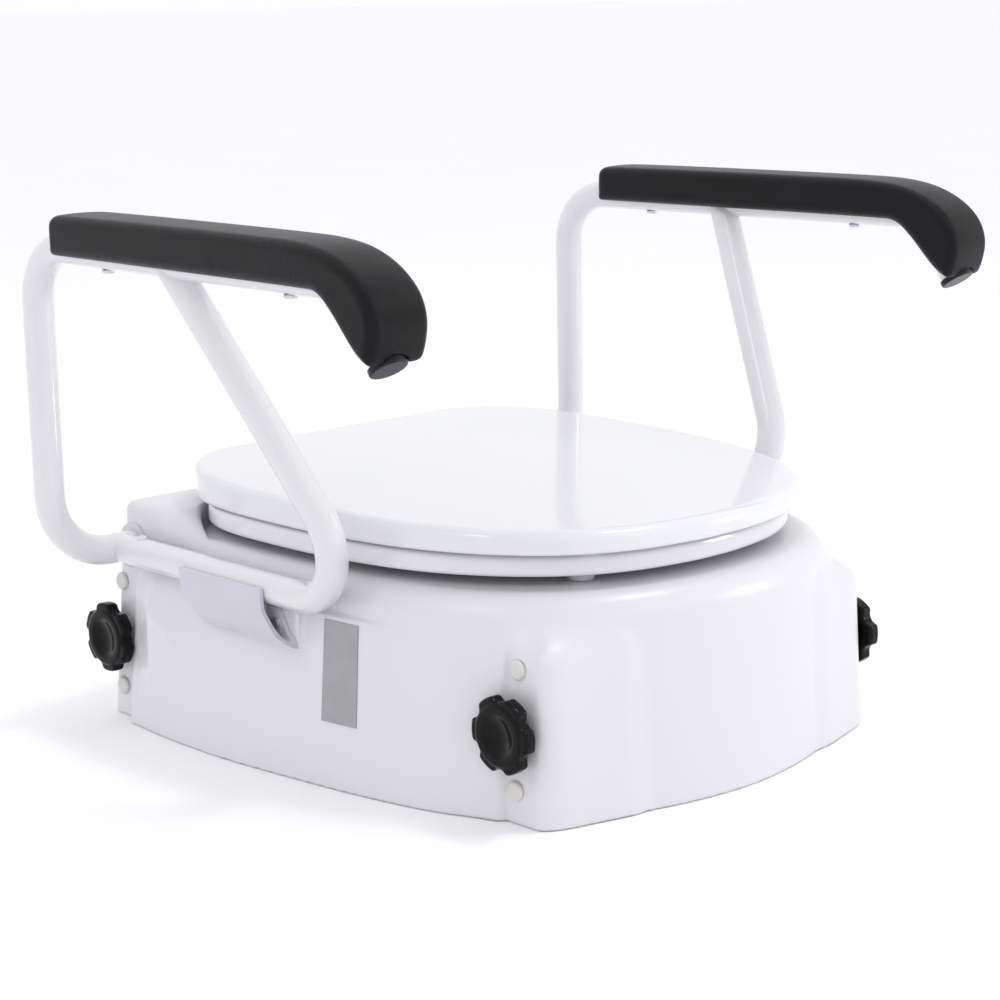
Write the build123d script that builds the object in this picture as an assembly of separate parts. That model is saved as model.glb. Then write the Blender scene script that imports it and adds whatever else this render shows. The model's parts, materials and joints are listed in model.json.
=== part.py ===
from build123d import *
import math
import os

os.makedirs("parts", exist_ok=True)

# Raised toilet seat with swing-back arms, millimetres.
# +Z up, front of the seat faces -Y, X is across. The origin is the centre of
# the bounding box's footprint on the plane of the bottom rim.
# "right" is the -X side and "left" the +X side, as the sitter has them.

# ---- driving dimensions -------------------------------------------------
Y_SHIFT = 9.30            # moves the working axes so the box is centred on Y
WALL = 3.2                # moulded wall of the body
DRAFT = 0.0437            # wall draft, mm per mm of height (2.5 degrees)
DECK_Z = 147.0            # deck under the seat ring
REAR_Z = 163.0            # raised deck behind the seat ring
BOTTOM_REAR_Y = 213.0     # rear wall at the bottom rim
PANEL_X = 203.0           # rear clamp panel at the bottom rim
BOSS_X = 165.0            # front clamp boss face at the bottom rim
SKIRT_Z = 85.0            # lower edge of the splash skirt
HOLE_Z = (23.0, 63.0, 103.0)   # three clamp heights, 40 mm apart
HOLE_R = 4.25             # clearance hole for an M8 screw
FRONT_HOLE_Y = -185.6
REAR_HOLE_Y = 200.5
RING_Z0, RING_Z1 = 154.0, 170.0
LID_Z0 = 170.4
LID_FRONT_Z, LID_REAR_Z = 186.5, 195.0
HINGE_Y, HINGE_Z = 192.0, 180.0   # behind the lid's rear edge, so it can fold right over
HINGE_SCREW_Y = 192.0
HINGE_X = 62.0
POST_R = 7.5
HINGE_PIN_R = 4.0
TUBE_R, TUBE_RI = 11.0, 9.5
REAR_TUBE_X = 264.0
LOWER_TUBE_X = 207.0
PIVOT_Y, PIVOT_Z = 190.0, 132.0
TOP_TUBE_Z = 360.0
TRAY_X = 195.6            # deck side wall beside the lower arm tube
KNOB_R = 26.0
SCREW_R = 4.0
CLAMP_GAP = 28.0          # clamp bracket plate, inboard of the panel face


def save(shape, name):
    solids = ShapeList(shape.solids()) if not isinstance(shape, list) else ShapeList(
        [s for item in shape for s in item.solids()])
    solids = [s.moved(Location((0, Y_SHIFT, 0))) for s in solids]
    out = solids[0] if len(solids) == 1 else Compound(children=solids)
    out.label = name
    export_step(out, f"parts/{name}.step")
    return out


def mirror_x(shape):
    return mirror(shape, about=Plane.YZ)


def cyl_x(r, x0, x1, y, z):
    plane = Plane(origin=(min(x0, x1), y, z), z_dir=(1, 0, 0))
    return extrude(plane * Circle(r), abs(x1 - x0))


def cyl_z(r, x, y, z0, z1):
    return extrude(Plane(origin=(x, y, z0)) * Circle(r), z1 - z0)


def block(x0, x1, y0, y1, z0, z1):
    return Pos((x0 + x1) / 2, (y0 + y1) / 2, (z0 + z1) / 2) * Box(
        abs(x1 - x0), abs(y1 - y0), abs(z1 - z0))


def offset_points(points, d):
    """Moves the points of a half outline inwards by d, along its normals."""
    out = []
    n = len(points)
    for i, (x, y) in enumerate(points):
        a = points[max(i - 1, 0)]
        b = points[min(i + 1, n - 1)]
        if i == 0:
            a = (-points[1][0], points[1][1])
        tx, ty = b[0] - a[0], b[1] - a[1]
        length = math.hypot(tx, ty)
        nx, ny = -ty / length, tx / length
        out.append((x + nx * d, y + ny * d))
    out[0] = (0.0, out[0][1])
    return out


def outline(points, z):
    """Closed face, symmetric in X, from a half outline that starts on X = 0."""
    right = [(x, y, z) for x, y in points]
    left = [(-x, y, z) for x, y in reversed(points)]
    a = Spline(*right, tangents=[(1, 0, 0), _end(points)])
    b = Line(right[-1], left[0])
    e = _end(points)
    c = Spline(*left, tangents=[(e[0], -e[1], 0), (1, 0, 0)])
    return make_face(Wire([a.edge(), b.edge(), c.edge()]))


def soft_edges(part, pick, radii):
    """Fillets the picked edges with the first radius that the shape takes."""
    for r in radii:
        try:
            return fillet([e for e in part.edges() if pick(e)], r)
        except Exception:
            continue
    print("edges left sharp")
    return part


def _end(points):
    (x0, y0), (x1, y1) = points[-2], points[-1]
    d = math.hypot(x1 - x0, y1 - y0)
    return ((x1 - x0) / d, (y1 - y0) / d, 0)


def tube_path(points, radii):
    """Straight runs joined by tangent arcs in space."""
    pts = [Vector(*p) for p in points]
    edges = []
    start = pts[0]
    for i in range(1, len(pts) - 1):
        p, a, b = pts[i], pts[i - 1], pts[i + 1]
        u, v = (a - p).normalized(), (b - p).normalized()
        half = math.radians(u.get_angle(v)) / 2
        r = radii[i - 1]
        t = r / math.tan(half)
        q0, q1 = p + u * t, p + v * t
        mid = p + (u + v).normalized() * (r / math.sin(half) - r)
        edges.append(Line(start, q0).edge())
        edges.append(ThreePointArc(q0, mid, q1).edge())
        start = q1
    edges.append(Line(start, pts[-1]).edge())
    return Wire(edges)


def tube(points, radii, r, ri=None):
    path = tube_path(points, radii)
    d = (Vector(*points[1]) - Vector(*points[0])).normalized()
    plane = Plane(origin=points[0], z_dir=d)
    outer = sweep(plane * Circle(r), path=path)
    if ri is None:
        return outer
    return outer - sweep(plane * Circle(ri), path=path)


# ---- outlines -----------------------------------------------------------
BODY_BOTTOM = [(0, -245), (47, -240.5), (90, -229), (124, -212), (152, -189),
               (174, -159), (189, -122), (201, -66), (210, 0), (216, 60),
               (217, 120), (213, 178), (208, BOTTOM_REAR_Y)]
BODY_TOP = [(0, -239), (46, -234.5), (88, -223), (120, -206), (146, -183),
            (167, -153), (182, -117), (192, -62), (196, 0), (197, 60),
            (197, 120), (196.6, 178), (196, BOTTOM_REAR_Y - DRAFT * DECK_Z)]
RING = [(0, -214), (27, -212.6), (64, -205), (96, -191), (122, -171), (143, -146),
        (160, -117), (173, -82), (181, -42), (185, 0), (185.5, 45), (184, 80),
        (178, 110), (165, 135), (140, 152), (105, 160)]
LID = [(0, -222), (27, -220.8), (68, -213), (101, -199), (127, -179), (148, -153),
       (164, -123), (176.5, -86), (184, -44), (187.5, 0), (187.8, 50), (186, 90),
       (180, 125), (166, 150), (145, 171), (117, 183)]


def aperture(a, y0, y1, z0, z1):
    """Seat opening: a long oval, rounder at the rear."""
    pts = []
    yc = (y0 + y1) / 2 + 12
    for k in range(0, 13):
        t = math.pi * k / 12
        x = a * math.sin(t) ** 0.9 if 0 < k < 12 else 0
        y = yc - math.cos(t) * ((yc - y0) if t < math.pi / 2 else (y1 - yc))
        pts.append((x, y))
    wire = Spline(*[(x, y, z0) for x, y in pts],
                  *[(-x, y, z0) for x, y in reversed(pts[1:-1])],
                  periodic=True)
    return extrude(make_face(Wire([wire.edge()])), z1 - z0)


# ---- body shell ---------------------------------------------------------
def lofted(bottom, top, z0, z1):
    return loft([outline(bottom, z0), outline(top, z1)], ruled=True)


def top_spline_edges(part, z):
    return [e for e in part.edges()
            if abs(e.bounding_box().min.Z - z) < 0.01 and abs(e.bounding_box().max.Z - z) < 0.01
            and e.geom_type != GeomType.LINE]


def blend_points(t):
    return [(a[0] + (b[0] - a[0]) * t, a[1] + (b[1] - a[1]) * t)
            for a, b in zip(BODY_BOTTOM, BODY_TOP)]


def rear_block(d):
    """Raised rear deck, d is how far its faces lie inside the outer skin."""
    s = math.hypot(16, 40) / 40 * d
    prof = [(96 + d * 0, 120), (96, DECK_Z - s - 0.5), (104, DECK_Z - s), (144, REAR_Z - s * 0.98),
            (150, REAR_Z - d), (BOTTOM_REAR_Y - DRAFT * REAR_Z - d, REAR_Z - d),
            (BOTTOM_REAR_Y - DRAFT * 120 - d, 120)]
    face = make_face(Polyline(*[(0, y, z) for y, z in prof], close=True))
    return extrude(face, TRAY_X - d, dir=(1, 0, 0), both=True)


outer = lofted(BODY_BOTTOM, BODY_TOP, 0, DECK_Z)
outer = fillet(top_spline_edges(outer, DECK_Z), 17)
inner = lofted(offset_points(blend_points(0), WALL), offset_points(blend_points(1), WALL),
               -1.0, DECK_Z - WALL)
# keeps the rear inner face parallel to the rear wall
inner = inner & extrude(make_face(Polyline(
    (0, -300, -10), (0, BOTTOM_REAR_Y - WALL + DRAFT * 10, -10),
    (0, BOTTOM_REAR_Y - WALL - DRAFT * 200, 200), (0, -300, 200), close=True)), 300, dir=(1, 0, 0), both=True)
inner = fillet(top_spline_edges(inner, DECK_Z - WALL), 13.5)


def boss(d):
    """Front clamp boss on the +X side; d is the inset from the outer faces."""
    base = [(BOSS_X - d, -140), (BOSS_X - d, -207 + d), (156 - d * 0.7, -214 + d),
            (117, -224 + d), (80, -190), (80, -140)]
    k = DRAFT * 122.0
    topp = [(BOSS_X - d - k, -140), (BOSS_X - d - k, -207 + d + k), (156 - d * 0.7 - k, -214 + d + k),
            (117, -222 + d + k), (80, -190), (80, -140)]
    zt = 122.0 - d
    f0 = make_face(Polyline(*[(x, y, -1.0 if d else 0.0) for x, y in base], close=True))
    f1 = make_face(Polyline(*[(x, y, zt) for x, y in topp], close=True))
    return loft([f0, f1], ruled=True)


outer_boss = boss(0)
edges_v = [e for e in outer_boss.edges()
           if e.bounding_box().size.Z > 100 and e.center().X > 100 and e.center().Y < -170]
outer_boss = fillet(edges_v, 8)
outer_boss = soft_edges(outer_boss, lambda e: e.center().Z > 121 and e.center().X > 118
                        and -216 < e.center().Y < -141, (9.0, 7.0, 5.0, 3.0))
inner_boss = boss(WALL)

rear_outer = rear_block(0)
rear_outer = fillet([e for e in rear_outer.edges()
                     if abs(e.center().X) > 190 and e.center().Z > 130 and e.center().Y > 100
                     and e.bounding_box().size.X < 1], 6)
rear_inner = rear_block(WALL)

ring_pocket = extrude(outline(offset_points(RING, -5.5), DECK_Z), 60)
ring_pocket_inner = extrude(outline(offset_points(RING, -5.5 - WALL), DECK_Z - WALL), 60)

body = outer + outer_boss + mirror_x(outer_boss) + (rear_outer - ring_pocket)
cavity_rear = rear_inner - ring_pocket_inner
body = body - inner - inner_boss - mirror_x(inner_boss) - cavity_rear

# rear clamp panels: flat faces set back from the bulging sides
for s in (1, -1):
    z_top = 119.0
    panel = make_face(Polyline((s * PANEL_X, 181, 0), (s * (PANEL_X + 30), 181, 0),
                               (s * (PANEL_X + 30), 240, 0), (s * PANEL_X, 240, 0), close=True))
    k = DRAFT * z_top
    panel_top = make_face(Polyline((s * (PANEL_X - k), 181, z_top), (s * (PANEL_X + 30), 181, z_top),
                                   (s * (PANEL_X + 30), 240, z_top), (s * (PANEL_X - k), 240, z_top),
                                   close=True))
    cut = loft([panel.moved(Location((0, 0, 0))), panel_top], ruled=True)
    # skin behind the panel, so the cut leaves a full wall
    q0 = make_face(Polyline((s * (PANEL_X - WALL), 176, 0), (s * (PANEL_X + 12), 176, 0),
                            (s * (PANEL_X + 12), BOTTOM_REAR_Y - 1, 0),
                            (s * (PANEL_X - WALL), BOTTOM_REAR_Y - 1, 0), close=True))
    q1 = make_face(Polyline((s * (PANEL_X - WALL - k), 176, z_top), (s * (PANEL_X + 5), 176, z_top),
                            (s * (PANEL_X + 5), BOTTOM_REAR_Y - 1 - k, z_top),
                            (s * (PANEL_X - WALL - k), BOTTOM_REAR_Y - 1 - k, z_top), close=True))
    skin = loft([q0, q1], ruled=True) & outer
    body = body + skin - cut

# seat opening with its splash skirt
skirt = aperture(111.5, -171, 91, SKIRT_Z, DECK_Z - 1)
opening = aperture(108, -167.5, 87.5, SKIRT_Z - 5, DECK_Z + 30)
body = body + skirt - opening

# trays for the lower arm tubes, open upwards and outwards, and the pivot boss
for s in (1, -1):
    under = block(s * TRAY_X, s * 240, -200, 230, PIVOT_Z - TUBE_R - 0.6, 200)
    tray_skin = block(s * (TRAY_X - WALL), s * TRAY_X, -72, 206, 118, DECK_Z - 6) & outer
    tray_floor = block(s * (TRAY_X - WALL), s * 218, -72, 206, PIVOT_Z - TUBE_R - 0.6 - WALL,
                       PIVOT_Z - TUBE_R - 0.6) & outer
    seat_pad = block(s * 196, s * 204.6, -20, 98, 94, PIVOT_Z - TUBE_R - 0.6)
    body = body + tray_skin + tray_floor + seat_pad - under
    pivot = cyl_x(16.5, s * 176, s * TRAY_X, PIVOT_Y, PIVOT_Z)
    body = body + pivot
    body = body - cyl_x(13.0, s * 170, s * 199, PIVOT_Y, PIVOT_Z)
    body = body - cyl_x(16.0, s * 193.6, s * 199, PIVOT_Y, PIVOT_Z)

# clamp holes
for s in (1, -1):
    for z in HOLE_Z:
        body = body - cyl_x(HOLE_R, s * 135, s * 175, FRONT_HOLE_Y, z)
        body = body - cyl_x(HOLE_R, s * 185, s * 215, REAR_HOLE_Y, z)
# hinge screw holes
for s in (1, -1):
    body = body - cyl_z(3.0, s * HINGE_X, HINGE_SCREW_Y, 150, 170)
# cradle screw holes
for s in (1, -1):
    for y in (4.0, 62.0):
        body = body - cyl_x(2.5, s * 196, s * 206, y, 108.5)

body = body.solid() if len(body.solids()) == 1 else body
if len(body.solids()) > 1:
    sizes = sorted(body.solids(), key=lambda q: q.volume)
    print("body pieces", [round(q.volume) for q in sizes])
    body = sizes[-1]
save(body, "body_shell")

# ---- seat ring and its bumpers -------------------------------------------
ring = extrude(outline(RING, RING_Z0), RING_Z1 - RING_Z0)
ring = fillet([e for e in ring.edges() if e.bounding_box().size.Z > 5 and e.center().Y > 100], 14)
ring = soft_edges(ring, lambda e: e.bounding_box().size.Z < 0.1, (5.5, 4.0, 2.5))
ring = ring - aperture(104, -163.5, 82, RING_Z0 - 5, RING_Z1 + 5)
try:
    inner_edges = [e for e in ring.edges() if e.bounding_box().size.Z < 0.1
                   and abs(e.bounding_box().size.X - 208) < 6]
    ring = fillet(inner_edges, 2.5)
except Exception as problem:
    print("ring aperture edge left sharp", problem)
for s in (1, -1):
    lug = cyl_x(POST_R, s * 74.5, s * 94, HINGE_Y, HINGE_Z)
    arm = make_face(Polyline((s * 74.5, 148, RING_Z0 + 1), (s * 74.5, 155, RING_Z0 + 1),
                             (s * 74.5, 162.5, REAR_Z + 1.5), (s * 74.5, HINGE_Y + 3.0, HINGE_Z - 6.8),
                             (s * 74.5, HINGE_Y - 4.6, HINGE_Z + 5.9),
                             (s * 74.5, 148, RING_Z1 - 1), close=True))
    arm = extrude(arm, 19.5, dir=(s, 0, 0))
    ring = ring + lug + arm
    ring = ring - cyl_x(HINGE_PIN_R + 0.05, s * 71, s * 90, HINGE_Y, HINGE_Z)
save(ring, "seat_ring")

bumpers = []
for x, y in ((88, -171), (140, 62)):
    for s in (1, -1):
        b = cyl_z(9.0, s * x, y, DECK_Z + 0.05, RING_Z0)
        b = fillet([e for e in b.edges() if e.center().Z < DECK_Z + 1], 2.5)
        bumpers.append(b)
save(bumpers, "seat_bumpers")

# ---- lid ------------------------------------------------------------------
def lid_solid(d, z0, zf, zr):
    base = extrude(outline(offset_points(LID, d), z0), 40)
    # sloping top, higher at the rear
    slope = (zr - zf) / (183.0 + 222.0)
    top = make_face(Polyline((0, -260, z0 - 5), (0, -260, zf - slope * 38), (0, 200, zr + slope * 17),
                             (0, 200, z0 - 5), close=True))
    return base & extrude(top, 230, dir=(1, 0, 0), both=True)


lid = lid_solid(0, LID_Z0, LID_FRONT_Z, LID_REAR_Z)
lid = fillet([e for e in lid.edges() if e.bounding_box().size.Z > 5 and abs(e.center().X) > 100
              and e.center().Y > 150 and e.bounding_box().size.Y < 1], 10)
lid = soft_edges(lid, lambda e: e.bounding_box().min.Z > 180, (7.0, 5.0, 3.0, 1.5))
lid = lid - lid_solid(4.0, LID_Z0 - 1, LID_FRONT_Z - 4.0, LID_REAR_Z - 4.0)
for s in (1, -1):
    # the rear rim is open round each hinge, under an unbroken top skin
    lid = lid - block(s * 72, s * 97, 150, 190, LID_Z0 - 2, 190.6)
    knuckle = cyl_x(POST_R, s * 28, s * 49.5, HINGE_Y, HINGE_Z)
    web = extrude(make_face(Polyline((s * 28, 180.5, 172.5), (s * 28, HINGE_Y + 3.0, HINGE_Z - 6.8),
                                     (s * 28, HINGE_Y - 4.6, HINGE_Z + 5.9), (s * 28, 180.5, 190.0),
                                     close=True)), 21.5, dir=(s, 0, 0))
    lid = lid + knuckle + web
    lid = lid - cyl_x(HINGE_PIN_R + 0.05, s * 31, s * 52, HINGE_Y, HINGE_Z)
save(lid, "lid")

pads = []
for x, y in ((96, -188), (158, 60)):
    for s in (1, -1):
        floor = cyl_z(6.0, s * x, y, RING_Z1 + 0.05, 183.2)
        pads.append(floor - block(-200, 200, -300, 300, 0, RING_Z1 + 0.05))
slope = (LID_REAR_Z - LID_FRONT_Z) / 405.0
under_lid = lid_solid(0.5, LID_Z0 - 1, LID_FRONT_Z - 4.05, LID_REAR_Z - 4.05)
pads = [p & under_lid for p in pads]
save(pads, "lid_bumpers")

# ---- seat hinges ------------------------------------------------------------
for s, side in ((1, "left"), (-1, "right")):
    x0, x1 = s * 50.5, s * 73.5
    post = cyl_x(POST_R, x0, x1, HINGE_Y, HINGE_Z)
    foot = make_face(Polyline((x0, HINGE_Y - POST_R, REAR_Z), (x0, HINGE_Y + POST_R, REAR_Z),
                              (x0, HINGE_Y + POST_R, HINGE_Z), (x0, HINGE_Y - POST_R, HINGE_Z), close=True))
    foot = extrude(foot, abs(x1 - x0), dir=(s, 0, 0))
    post = post + foot - cyl_x(HINGE_PIN_R, x0 - 1 * s, x1 + 1 * s, HINGE_Y, HINGE_Z)
    post = post - cyl_z(2.55, s * HINGE_X, HINGE_SCREW_Y, REAR_Z - 1, HINGE_Z - HINGE_PIN_R - 1.5)
    save(post, f"hinge_post_{side}")
    pin = cyl_x(HINGE_PIN_R, s * 32, s * 89, HINGE_Y, HINGE_Z)
    pin = chamfer([e for e in pin.edges() if e.geom_type == GeomType.CIRCLE], 0.6)
    save(pin, f"hinge_pin_{side}")
screws = []
for s in (1, -1):
    shank = cyl_z(2.5, s * HINGE_X, HINGE_SCREW_Y, REAR_Z - WALL, HINGE_Z - HINGE_PIN_R - 2.5)
    head = cyl_z(5.5, s * HINGE_X, HINGE_SCREW_Y, REAR_Z - WALL - 3.5, REAR_Z - WALL)
    hexa = extrude(Plane(origin=(s * HINGE_X, HINGE_SCREW_Y, REAR_Z - WALL - 3.6)) * RegularPolygon(2.2, 6), 2.1)
    screws.append(shank + head - hexa)
save(screws, "hinge_screws")

# ---- arms --------------------------------------------------------------------
MAIN_PTS = [(276.7, -201.6, 315.7), (275.6, -172.7, TOP_TUBE_Z), (REAR_TUBE_X, PIVOT_Y, TOP_TUBE_Z),
            (REAR_TUBE_X, PIVOT_Y, PIVOT_Z), (170.0, PIVOT_Y, PIVOT_Z)]
MAIN_R = [36, 42, 48]
BRACE_PTS = [(269.6, 21.0, TOP_TUBE_Z), (LOWER_TUBE_X, -105.5, PIVOT_Z), (LOWER_TUBE_X, PIVOT_Y, PIVOT_Z)]
BRACE_R = [50]

main_tube = tube(MAIN_PTS, MAIN_R, TUBE_R, TUBE_RI)
main_full = tube(MAIN_PTS, MAIN_R, TUBE_R)
brace_tube = tube(BRACE_PTS, BRACE_R, TUBE_R, TUBE_RI) - main_full
brace_tube = sorted(brace_tube.solids(), key=lambda q: q.volume)[-1]
# hole in the lower tube for the lock button, and the bore it slides in
BUTTON_Y = 160.0
brace_tube = brace_tube - cyl_z(4.05, LOWER_TUBE_X, BUTTON_Y, PIVOT_Z + 5, PIVOT_Z + 14)

# pad: side profile (Y, Z), 46 mm wide, following the splay of the top tube
PAD_BOTTOM = 357.0
prof = [(135, PAD_BOTTOM), (-158, PAD_BOTTOM), (-173, 345), (-190, 328), (-206, 320.5), (-213.5, 331),
        (-217, 345), (-210, 357), (-197, 368), (-176, 378.5), (-150, 383.5), (-110, 385), (124, 385),
        (132, 382), (135, 376)]
pad_face = make_face(Polyline(*[(0, y, z) for y, z in prof], close=True))
pad = extrude(pad_face, 23, dir=(1, 0, 0), both=True)
long_top = [e for e in pad.edges() if abs(abs(e.center().X) - 23) < 0.01 and e.center().Z > 331
            and e.center().Y > -214 and e.center().Z > 350]
for r in (7, 5, 3.5, 2):
    try:
        pad = fillet(long_top, r)
        break
    except Exception:
        print("pad edges not rounded at", r)
pad = Pos(269.4, 0, 0) * Rot(0, 0, 1.83) * pad
pad_channel = tube(MAIN_PTS, MAIN_R, TUBE_R + 0.15)
pad_screw_ys = (95.0, -110.0)
pad = pad - pad_channel - tube(BRACE_PTS, BRACE_R, TUBE_R + 0.3)


def on_top_tube(y):
    return 275.6 + (REAR_TUBE_X - 275.6) * (y + 172.7) / (PIVOT_Y + 172.7)


pad_screws = []
for y in pad_screw_ys:
    x = on_top_tube(y)
    shank = cyl_z(2.4, x, y, TOP_TUBE_Z - TUBE_R, 377)
    head = cyl_z(4.6, x, y, TOP_TUBE_Z - TUBE_R - 2.2, TOP_TUBE_Z - TUBE_R)
    head = fillet([e for e in head.edges() if e.center().Z < TOP_TUBE_Z - TUBE_R - 1], 1.4)
    cross = block(x - 2.2, x + 2.2, y - 0.5, y + 0.5, 340, TOP_TUBE_Z - TUBE_R - 1.1) + block(
        x - 0.5, x + 0.5, y - 2.2, y + 2.2, 340, TOP_TUBE_Z - TUBE_R - 1.1)
    pad_screws.append(shank + head - cross)
    pad = pad - cyl_z(2.4, x, y, 355, 377)
    main_tube = main_tube - cyl_z(2.4, x, y, TOP_TUBE_Z - TUBE_R - 3, 375)
    # flat seat under each screw head
    main_tube = main_tube - block(x - 5, x + 5, y - 5, y + 5, 340, TOP_TUBE_Z - TUBE_R)

# end cap on the open front end of the top tube
cap_dir = (Vector(*MAIN_PTS[0]) - Vector(*MAIN_PTS[1])).normalized()
cap_plane = Plane(origin=MAIN_PTS[0], z_dir=cap_dir)
cap = extrude(cap_plane * Circle(12.3), 4.0)
cap = fillet([e for e in cap.edges().sort_by(lambda e: (Vector(*MAIN_PTS[0]) - e.center()).length)[-1:]], 1.4)
cap = cap + extrude(cap_plane * Circle(TUBE_RI), -12)
cap = cap - extrude(cap_plane * Circle(TUBE_RI - 1.8), -12)
pad = pad - extrude(cap_plane * Circle(12.6), 10)

pad_screw_set = pad_screws
button = cyl_z(4.0, LOWER_TUBE_X, BUTTON_Y, PIVOT_Z + 2.0, PIVOT_Z + TUBE_R + 2.6)
button = fillet([button.edges().sort_by(Axis.Z)[-1]], 3.4)
button = button + cyl_z(5.6, LOWER_TUBE_X, BUTTON_Y, PIVOT_Z + 2.0, PIVOT_Z + 4.0)

bushing = cyl_x(13.0, 176, 193.6, PIVOT_Y, PIVOT_Z) + cyl_x(16.0, 193.6, TRAY_X, PIVOT_Y, PIVOT_Z)
bushing = bushing - cyl_x(TUBE_R + 0.05, 170, 200, PIVOT_Y, PIVOT_Z)
collar = cyl_x(13.2, 170.2, 175.4, PIVOT_Y, PIVOT_Z) - cyl_x(TUBE_R, 165, 180, PIVOT_Y, PIVOT_Z)

# cradle under the lower tube: a J-shaped strap with three saddle ribs
lip_top = 135.0
j_outer = Spline((204.6, 0, 97.0), (209.5, 0, 95.2), (215.5, 0, 99.5), (219.6, 0, 109.0), (221.4, 0, 120.0),
                 (221.6, 0, lip_top))
j_inner = Spline((218.6, 0, lip_top), (218.4, 0, 121.0), (216.6, 0, 110.5), (213.2, 0, 102.2), (209.6, 0, 98.6),
                 (207.6, 0, 100.0))
cr_wire = Wire([
    Line((204.6, 0, 119.6), (204.6, 0, 97.0)).edge(), j_outer.edge(),
    Line((221.6, 0, lip_top), (218.6, 0, lip_top)).edge(), j_inner.edge(),
    Line((207.6, 0, 100.0), (207.6, 0, 119.6)).edge(), Line((207.6, 0, 119.6), (204.6, 0, 119.6)).edge()])
cradle = extrude(make_face(cr_wire), 120, dir=(0, 1, 0)).moved(Location((0, -20, 0)))
trim_rear = extrude(make_face(Polyline((195, 97, 140), (195, 93, 118), (195, 70, 90), (195, 130, 90),
                                       (195, 130, 140), close=True)), 40, dir=(1, 0, 0))
trim_front = extrude(make_face(Polyline((195, 3, 140), (195, 2, 120), (195, -8, 103), (195, -17, 96),
                                        (195, -40, 90), (195, -40, 140), close=True)), 40, dir=(1, 0, 0))
cradle = cradle - trim_rear
cradle = cradle - trim_front
for y in (16.0, 46.0, 74.0):
    rib = block(207.6, 218.6, y - 2, y + 2, 97.0, PIVOT_Z - 4)
    rib = rib - extrude(Plane(origin=(LOWER_TUBE_X, y - 5, PIVOT_Z), z_dir=(0, 1, 0)) * Circle(TUBE_R + 0.3), 10)
    rib = rib & extrude(make_face(Wire([j_outer.edge(), Line((221.6, 0, lip_top), (204.6, 0, lip_top)).edge(),
                                        Line((204.6, 0, lip_top), (204.6, 0, 97.0)).edge()])), 200,
                        dir=(0, 1, 0)).moved(Location((0, -80, 0)))
    cradle = cradle + rib
cradle = sorted(cradle.solids(), key=lambda q: q.volume)[-1]
cradle_screws = []
for y in (4.0, 62.0):
    cradle = cradle - cyl_x(2.55, 200, 212, y, 108.5)
    head = cyl_x(4.2, 207.6, 209.8, y, 108.5)
    shank = cyl_x(2.5, 196, 207.6, y, 108.5)
    cradle_screws.append(head + shank)

for s, side in ((1, "left"), (-1, "right")):
    m = (lambda p: p) if s == 1 else mirror_x
    save(m(main_tube), f"arm_main_tube_{side}")
    save(m(brace_tube), f"arm_brace_tube_{side}")
    save(m(pad), f"arm_pad_{side}")
    save([m(p) for p in pad_screws], f"arm_pad_screws_{side}")
    save(m(cap), f"arm_end_cap_{side}")
    save(m(button), f"lock_button_{side}")
    save(m(bushing), f"pivot_bushing_{side}")
    save(m(collar), f"pivot_collar_{side}")
    save(m(cradle), f"arm_cradle_{side}")
    save([m(p) for p in cradle_screws], f"cradle_screws_{side}")


# ---- clamps ----------------------------------------------------------------
def knob(face_x):
    """Six-lobed hand knob on the +X side, turning about X; face_x is the panel."""
    x0, x1 = face_x + 7.5, face_x + 17.7
    pts = []
    for k in range(6):
        for off, r in ((-15, KNOB_R), (0, KNOB_R), (15, KNOB_R), (22, 20.8), (38, 20.8)):
            a = math.radians(60 * k + off)
            pts.append((r * math.cos(a), r * math.sin(a)))
    edges = []
    for k in range(6):
        p = pts[5 * k:5 * k + 5]
        nxt = pts[(5 * k + 5) % len(pts)]
        edges.append(ThreePointArc(p[0], p[1], p[2]).edge())
        edges.append(Line(p[2], p[3]).edge())
        a = math.radians(60 * k + 30)
        edges.append(ThreePointArc(p[3], (19.8 * math.cos(a), 19.8 * math.sin(a)), p[4]).edge())
        edges.append(Line(p[4], nxt).edge())
    face = make_face(Wire(edges))
    rim = extrude(face, x1 - x0)
    rim = rim & Cone(bottom_radius=KNOB_R + 8.8, top_radius=KNOB_R - 1.4, height=x1 - x0,
                     align=(Align.CENTER, Align.CENTER, Align.MIN))
    # dished face, and a hollow back round the hub
    rim = rim - Pos(0, 0, x1 - x0) * Cone(bottom_radius=4.0, top_radius=14.0, height=3.4,
                                          align=(Align.CENTER, Align.CENTER, Align.MAX))
    rim = rim - extrude(Circle(16.5) - Circle(9.5), 4.4)
    rim = rim + extrude(Circle(9.5), -7.0)
    plane = Plane(origin=(x0, 0, 0), x_dir=(0, 1, 0), z_dir=(1, 0, 0))
    return plane.location * rim


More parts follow.
